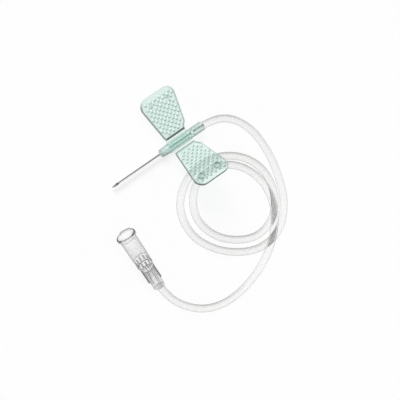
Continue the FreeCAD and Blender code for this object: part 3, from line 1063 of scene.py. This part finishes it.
@dataclass
class Fitting:
    """The female taper connector, in its own frame: X from the tube end to the mouth.

    Sizes are millimetres, and tail, neck, collar, barrel, flange, fin, lug, socket, channel and
    mouth are radii. line is the width of a marked line along an edge.
    """

    length: float = 21.0
    socket: float = 1.24
    insertion: float = 4.0
    channel: float = 0.75
    mouth: float = 2.15
    taper_end: float = 1.922
    taper_depth: float = 7.6
    funnel: float = 1.0
    funnel_step: float = 0.35
    tail: float = 1.84
    grip_end: float = 7.4
    neck: float = 2.3
    collar_start: float = 9.0
    collar: float = 2.55
    collar_end: float = 11.5
    barrel: float = 2.7
    draft: float = 0.1
    flange: float = 3.2
    flange_length: float = 0.9
    bevel: float = 0.5
    round_over: float = 0.25
    fins: int = 6
    fin_start: float = 2.7
    fin_width: float = 0.55
    fin: float = 2.25
    fin_mark: float = 0.8
    fin_line: float = 0.14
    line: float = 0.15
    clear_after: float = 0.2
    collar_line: float = 0.2
    barrel_line: float = 0.25
    barrel_shade: float = 1.9
    notches: int = 12
    notch_width: float = 0.6
    notch_inset: float = 0.5
    notch_depth: float = 0.25
    lug: float = 3.9
    lug_chord: float = 3.6
    lug_turn: float = -34.0
    lug_tones: tuple[float, ...] = (0.6, 0.1, 0.1, 0.1, 1.0, 1.0)
    back_line: float = 0.12
    mouth_ring: tuple[float, float] = (0.44, 0.52)
    mouth_edge: float = 0.12
    mouth_line: float = 0.3
    taper_slope: float = 0.03
    inner_marks: tuple[float, ...] = (0.45, 0.0, 0.35, 0.3, 0.1, 0.1, 0.3, 0.2)
    steps: int = 240
    bend_steps: int = 6
    sharp: float = 30.0

    def place(self) -> Matrix:
        """From the connector's own frame to the row frame, read from its taper's mount.

        Returns:
            The matrix.
        """
        found = [m for m in frame["record"]["mounts"] if m["name"] == "taper_socket"]
        axis = Vector(found[0]["axis"]).normalized()
        middle = self.length - self.taper_depth / 2
        start = Vector(found[0]["pos_m"]) - axis * middle * MM
        side = Vector((-axis.y, axis.x, 0)).normalized()
        columns = Matrix((axis, side, axis.cross(side))).transposed()
        return Matrix.Translation(start) @ columns.to_4x4()

    def angles(self) -> Array:
        """The directions round the axis, from the frame's Y towards its Z."""
        return np.linspace(0, 2 * math.pi, self.steps, endpoint=False)

    def bend(self) -> Array:
        """The angles along a rounded edge."""
        return np.linspace(0, math.pi / 2, self.bend_steps)

    def repeat(self, count: int, turn: float, half_width: float, radius: float) -> Array:
        """Where a feature that repeats round the axis is.

        Formula: one where the distance round the circle to the nearest feature's middle is
        under half its width, and falling to nothing over one step of the grid.

        Args:
            count: how many there are.
            turn: how far the first is turned from straight up, in degrees.
            half_width: half of one's width.
            radius: where the width is measured.

        Returns:
            A share from 0 to 1 for each direction.
        """
        pitch = 2 * math.pi / count
        away = self.angles() - math.radians(90 + turn)
        away = np.abs(away - np.round(away / pitch) * pitch) * radius
        step = 2 * math.pi / self.steps * radius
        return np.clip((half_width + step / 2 - away) / step, 0, 1)

    def lug_radius(self) -> Array:
        """The flange's outline with its two lugs, which end in straight sides.

        Returns:
            The radius in each direction.
        """
        away = self.angles() - math.radians(90 + self.lug_turn)
        away -= np.round(away / math.pi) * math.pi
        side = self.lug_chord / 2 / np.maximum(np.abs(np.sin(away)), 1e-6)
        return np.clip(side, self.flange, self.lug)

    def profile(self) -> list[tuple[float, ...]]:
        """The outline from the tail's end to the flange's back.

        Returns:
            Rows of station, radius, share of the fins, share of the notches, and mark.
        """
        turn, line = self.round_over, self.line
        tail, neck, collar, thin = self.tail, self.neck, self.collar, self.barrel - self.draft
        grip, grip_end = self.fin_start, self.grip_end
        start, end = self.collar_start, self.collar_end
        low, high = start + self.notch_inset, end - self.notch_inset
        back = self.length - self.flange_length
        rows = [(0.0, self.socket, 0, 0, 0.3), (0.0, tail - turn, 0, 0, 0.1)]
        rows += [(turn - turn * math.cos(a), tail - turn + turn * math.sin(a), 0, 0, 0.6)
                 for a in self.bend()]
        # The long list runs along the grip, the neck, the collar and the barrel.
        return rows + [
            (turn + self.clear_after, tail, 0, 0, 0.0),
            (grip, tail, 0, 0, 0.0), (grip, tail, 1, 0, 0.6), (grip + line, tail, 1, 0, 0.0),
            (grip_end, tail, 1, 0, 0.0), (grip_end, tail, 0, 0, 0.9), (grip_end, neck, 0, 0, 0.9),
            (grip_end + line, neck, 0, 0, 0.0), (start - line, neck, 0, 0, 0.0),
            (start, neck, 0, 0, 1.0), (start, collar, 0, 0, 1.0),
            (start + self.collar_line, collar, 0, 0, 0.2), (low, collar, 0, 0, 0.2),
            (low, collar, 0, 1, 0.8), (high, collar, 0, 1, 0.8), (high, collar, 0, 0, 0.2),
            (end - line, collar, 0, 0, 0.2), (end, collar, 0, 0, 0.85), (end, thin, 0, 0, 0.85),
            (end + self.barrel_line, thin, 0, 0, 0.3),
            (end + self.barrel_shade, self.barrel - self.draft * 0.8, 0, 0, 0.0),
            (back - self.bevel, self.barrel, 0, 0, 0.0), (back, self.flange, 0, 0, 0.05),
        ]

    def flange_rows(self) -> list[tuple[Any, Any, Any]]:
        """The flange and its lugs, from their back to the mouth's edge.

        Formula: between the lugs the outer edge is a quarter round. On a lug the same rows
        lie flat on the mouth's face, evenly from the lug's side to the foot of that round.

        Returns:
            Rows of station, radius and mark, each one number or one for each direction.
        """
        turn = self.round_over
        face, back = self.length - turn, self.length - self.flange_length
        lugs = self.lug_radius()
        on_lug = lugs > self.flange + 1e-6
        rows = [(back, lugs, 0.12), (back + self.back_line, lugs, 0.0), (face, lugs, 0.0)]
        shares = np.linspace(0, 1, self.bend_steps)
        for share, tone, a in zip(shares, self.lug_tones, self.bend()):
            bent = self.flange - turn + turn * math.cos(a)
            raised = lugs + (self.flange - turn - lugs) * share
            rows.append((np.where(on_lug, self.length, face + turn * math.sin(a)),
                         np.where(on_lug, raised, bent), np.where(on_lug, tone, 1.0)))
        dark, clear = self.mouth_ring
        return rows + [(self.length, self.flange - dark, 1.0),
                       (self.length, self.flange - clear, 0.0),
                       (self.length, self.mouth + self.mouth_edge, 0.0),
                       (self.length, self.mouth, 0.35)]

    def outside(self, skin: Skin) -> None:
        """Adds the outer surface, from the tail's end to the mouth's edge.

        Formula: the radius at a station and a direction is the outline's radius, with the fins
        raised from it and the notches sunk into it. Fins are marked along both their sides,
        and notches only where they are deep.

        Args:
            skin: what it is added to.
        """
        rows = self.profile()
        station, radius, fin, notch, mark = (np.array(c, float)[:, None] for c in zip(*rows))
        half = self.fin_width / 2
        fins = self.repeat(self.fins, 0, half, self.tail)
        notches = self.repeat(self.notches, 180 / self.notches, self.notch_width / 2, self.collar)
        station, mark = np.broadcast_to(station, (len(rows), self.steps)), mark + 0 * fins
        radius = radius + fin * fins * (self.fin - self.tail) - notch * notches * self.notch_depth
        mark = np.where((notch > 0) & (notches < 0.5), 0.0, mark)
        wide, narrow = (self.repeat(self.fins, 0, half + side, self.tail)
                        for side in (self.fin_line / 2, -self.fin_line / 2))
        fin_sides = (wide - narrow) * self.fin_mark
        past_start = station > self.fin_start + 1
        mark = np.where(fin > 0, np.maximum(mark * past_start, fin_sides), mark)
        flange = [[np.broadcast_to(np.asarray(v, float), (self.steps,)) for v in row]
                  for row in self.flange_rows()]
        station, radius, mark = (np.vstack([part, *(row[i] for row in flange)])
                                 for i, part in enumerate((station, radius, mark)))
        angle = self.angles()
        skin.grid(np.stack([station, radius * np.cos(angle), radius * np.sin(angle)], axis=-1),
                  mark, close_columns=True)

    def inside(self, skin: Skin) -> int:
        """Adds the inner surface: taper, funnel, channel and the tube's socket.

        Args:
            skin: what it is added to.

        Returns:
            How many faces it has.
        """
        end = self.length - self.taper_depth
        lip = self.mouth_line
        line = [(self.length, self.mouth),
                (self.length - lip, self.mouth - lip * self.taper_slope),
                (end, self.taper_end), (end, self.taper_end - self.funnel_step),
                (end - self.funnel, self.channel), (self.insertion, self.channel),
                (self.insertion, self.socket), (0.0, self.socket)]
        marks = np.array(self.inner_marks)[:, None]
        skin.grid(turned(line, self.steps), marks, close_columns=True)
        return (len(line) - 1) * self.steps

    def build(self, finish: bpy.types.Material, bore: bpy.types.Material) -> bpy.types.Object:
        """Builds the connector as one closed shell and lets it stand for the CAD one.

        Args:
            finish: the outer surface's material.
            bore: the inner surface's material.

        Returns:
            The connector.
        """
        skin = Skin()
        self.outside(skin)
        inner = self.inside(skin)
        made = skin.build("taper_connector", self.place(), self.sharp)
        for material in (finish, bore):
            made.data.materials.append(material)
        count = len(made.data.polygons)
        inside = np.arange(count) >= count - inner
        made.data.polygons.foreach_set("material_index", inside.astype(np.int32))
        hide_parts("connector")
        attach(made, "set")
        return made


# Studio


@dataclass
class Studio:
    """White floor and surroundings, one broad lamp, and the camera.

    Lengths are metres and angles are degrees. sky is how much light the surroundings give, and
    paper how much of the floor's own white is seen beside what the lamp lights.
    """

    target: tuple[float, float, float] = (-0.007370, 0.022374, 0.0)
    side_angle: float = 54.67
    elevation: float = 57.9
    roll: float = 94.8
    width: float = 0.12308
    distance: float = 1.0
    sky: float = 0.48
    paper: float = 0.68
    card: float = 0.9
    card_edge: float = 4.0
    lamp: float = 2.75
    lamp_height: float = 36.0
    lamp_way: tuple[float, float] = (0.168, -0.986)
    lamp_size: float = 22.0
    floor_half: float = 3.0
    floor_steps: int = 5
    floor_drop: float = 2e-5
    floor_tone: Colour = (0.97, 0.97, 0.97)
    white: Colour = (1.0, 1.0, 1.0)
    clear_layers: int = 48

    def floor(self) -> None:
        """Lays the white floor."""
        count = self.floor_steps
        side = np.linspace(-self.floor_half, self.floor_half, count)
        x, y = np.meshgrid(side, side)
        mesh = bpy.data.meshes.new("floor")
        points = np.stack([x, y, np.full_like(x, -self.floor_drop)], axis=-1).reshape(-1, 3)
        index = np.arange(count * count).reshape(count, count)
        corners = [index[:-1, :-1], index[:-1, 1:], index[1:, 1:], index[1:, :-1]]
        mesh.from_pydata(points, [], np.stack(corners, axis=-1).reshape(-1, 4))
        made = bpy.data.objects.new("floor", mesh)
        bpy.context.scene.collection.objects.link(made)
        material, tree = new_material("floor_white")
        lit = tree.node("ShaderNodeBsdfDiffuse", {"Color": self.floor_tone})
        paper = tree.node("ShaderNodeEmission", {"Color": self.white})
        shader = tree.node("ShaderNodeMixShader", {
            0: self.seen(tree) * self.paper, 1: lit, 2: paper})
        tree.node("ShaderNodeOutputMaterial", {"Surface": shader})
        mesh.materials.append(material)

    @staticmethod
    def seen(tree: Tree) -> Value:
        """One where a surface is seen straight, in a mirror or through glass, not only lit.

        Args:
            tree: the tree that its nodes go into.

        Returns:
            The number.
        """
        path = tree.node("ShaderNodeLightPath")
        straight = Value(tree, path.outputs["Is Camera Ray"])
        mirrored = Value(tree, path.outputs["Is Glossy Ray"])
        return straight.most(mirrored).most(Value(tree, path.outputs["Is Transmission Ray"]))

    def surroundings(self) -> None:
        """White where it is seen, softer where it only lights, and a dark card in mirrors.

        The card stands on the lamp's side. It gives steel and gloss one dark and one light side.
        """
        world = bpy.data.worlds.new("surroundings")
        bpy.context.scene.world = world
        world.use_nodes = True
        tree = Tree(world.node_tree)
        mirrored = tree.value("ShaderNodeLightPath", "Is Glossy Ray")
        way = tree.node("ShaderNodeTexCoord").outputs["Generated"]
        across = tree.value("ShaderNodeSeparateXYZ", "Y", {"Vector": way})
        card = (0.5 - across * self.card_edge).most(0.0).least(1.0) * mirrored * self.card
        level = self.seen(tree) * (1 - self.sky) + self.sky
        shader = tree.node("ShaderNodeBackground", {
            "Color": self.white, "Strength": level * (1 - card)})
        tree.node("ShaderNodeOutputWorld", {"Surface": shader})

    def key_lamp(self) -> None:
        """A broad lamp beyond the lying wing."""
        data = bpy.data.lights.new("key", "SUN")
        data.energy = self.lamp
        data.angle = math.radians(self.lamp_size)
        height = math.radians(self.lamp_height)
        made = bpy.data.objects.new("key", data)
        x, y = (part * math.cos(height) for part in self.lamp_way)
        toward = Vector((x, y, math.sin(height)))
        made.rotation_euler = toward.to_track_quat("Z", "Y").to_euler()
        bpy.context.scene.collection.objects.link(made)

    def camera(self) -> None:
        """A long lens at the photograph's angle, turned about its own line of sight."""
        side, up = math.radians(self.side_angle), math.radians(self.elevation)
        back = Vector((math.sin(side) * math.cos(up), -math.cos(side) * math.cos(up),
                       math.sin(up)))
        data = bpy.data.cameras.new("camera")
        data.lens = data.sensor_width * self.distance / self.width
        data.clip_start, data.clip_end = 0.01, 20.0
        made = bpy.data.objects.new("camera", data)
        bpy.context.scene.collection.objects.link(made)
        turn = (-back).to_track_quat("-Z", "Y").to_matrix()
        turn = turn @ Matrix.Rotation(math.radians(self.roll), 3, "Z")
        place = Matrix.Translation(Vector(self.target) + back * self.distance)
        made.matrix_world = place @ turn.to_4x4()
        bpy.context.scene.camera = made

    def build(self) -> None:
        """Sets everything up."""
        self.floor()
        self.surroundings()
        self.key_lamp()
        self.camera()
        bpy.context.scene.view_settings.view_transform = "Standard"
        bpy.context.scene.cycles.transparent_max_bounces = self.clear_layers


# The whole set


@dataclass
class Finishes:
    """The finish of each kind of piece."""

    steel: DrawnSteel = DrawnSteel()
    adhesive: ClearPlastic = ClearPlastic(
        "cured_adhesive", (0.74, 0.77, 0.77), (0.45, 0.50, 0.50), 0.6, 0.9, spread=2.0)
    hub: ClearPlastic = ClearPlastic(
        "hub_plastic", (0.68, 0.82, 0.79), (0.05, 0.10, 0.095), 0.07, 0.97, (0.97, 0.99, 0.985),
        spread=1.4, roughness=0.12, grain=1e-6, glow=0.3, frost=0.72, frost_from=-0.0046)
    wing: ClearPlastic = ClearPlastic(
        "wing_plastic", (0.57, 0.75, 0.69), (0.035, 0.08, 0.065), 0.19, 0.96,
        (0.955, 0.985, 0.977), spread=3.0, roughness=0.11, wall=1.0, veil=True, mottle=0.08)
    sleeve: ClearPlastic = ClearPlastic(
        "sleeve_plastic", (0.58, 0.85, 0.77), (0.08, 0.26, 0.21), 0.11, 0.85,
        (0.965, 0.995, 0.985), spread=2.8, roughness=0.15, glow=0.3, mottle=0.06)
    web: ClearPlastic = ClearPlastic(
        "web_plastic", (0.84, 0.93, 0.90), (0.05, 0.12, 0.095), 0.08, 0.9, (0.98, 0.995, 0.99),
        spread=5.0, roughness=0.25, wall=1.0, glow=0.2, mottle=0.08)
    tube: ClearPlastic = ClearPlastic(
        "tube_plastic", (0.90, 0.90, 0.89), (0.16, 0.16, 0.155), 0.03, 0.8, spread=1.75,
        roughness=0.15, grain=0.5e-6, wall=1.0, glow=0.7, shade=0.12, layered=0.3)
    bore: ClearPlastic = ClearPlastic(
        "tube_bore", (0.90, 0.90, 0.89), (0.50, 0.50, 0.49), 0.02, 0.15, spread=3.0,
        roughness=0.2, grain=0.5e-6, glow=0.75, shade=0.1, layered=0.3)
    tube_end: ClearPlastic = ClearPlastic(
        "tube_end", (0.94, 0.95, 0.94), (0.07, 0.10, 0.095), 0.01, 0.9, spread=5.0,
        roughness=0.15, grain=0.5e-6, wall=1.0, glow=0.7, shade=0.1)
    fitting: ClearPlastic = ClearPlastic(
        "connector_plastic", (0.84, 0.85, 0.84), (0.07, 0.06, 0.085), 0.02, 0.95, spread=1.6,
        roughness=0.1, grain=0.5e-6, wall=1.0, glow=0.45, shade=0.15)
    fitting_bore: ClearPlastic = ClearPlastic(
        "connector_bore", (0.88, 0.89, 0.87), (0.12, 0.12, 0.13), 0.015, 0.55, spread=3.2,
        roughness=0.15, grain=0.5e-6, wall=0.9, glow=0.5, shade=0.15)


def dress(node: str, material: bpy.types.Material) -> None:
    """Gives a CAD piece its material.

    Args:
        node: the piece's name.
        material: its finish.
    """
    materials = frame["nodes"][node].data.materials
    materials.clear()
    materials.append(material)


def main() -> None:
    """Builds and dresses every piece in order, then the studio, and reports each."""
    logging.basicConfig(level=logging.INFO, format="%(message)s")
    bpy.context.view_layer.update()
    finishes = Finishes()
    place = HubPlace()
    wing_plastic = finishes.wing.material()
    dress("needle_cannula", finishes.steel.material())
    dress("cannula_bond", finishes.adhesive.material())
    dress("needle_hub", finishes.hub.material())
    fitting = Fitting().build(finishes.fitting.material(), finishes.fitting_bore.material())
    tube = InfusionTube().build(finishes.tube.material(), finishes.bore.material(),
                                finishes.tube_end.material(), fitting)
    made = [fitting, tube]
    sleeve = Sleeve(place)
    made.append(sleeve.build_tube(finishes.sleeve.material()))
    web_plastic = finishes.web.material()
    for side in WingSide:
        made.append(Wing(side, place).build(wing_plastic))
        made.append(sleeve.build_web(side, web_plastic))
    for piece in made:
        log.info("%s: %d faces", piece.name, len(piece.data.polygons))
    Studio().build()


if __name__ == "__main__":
    main()
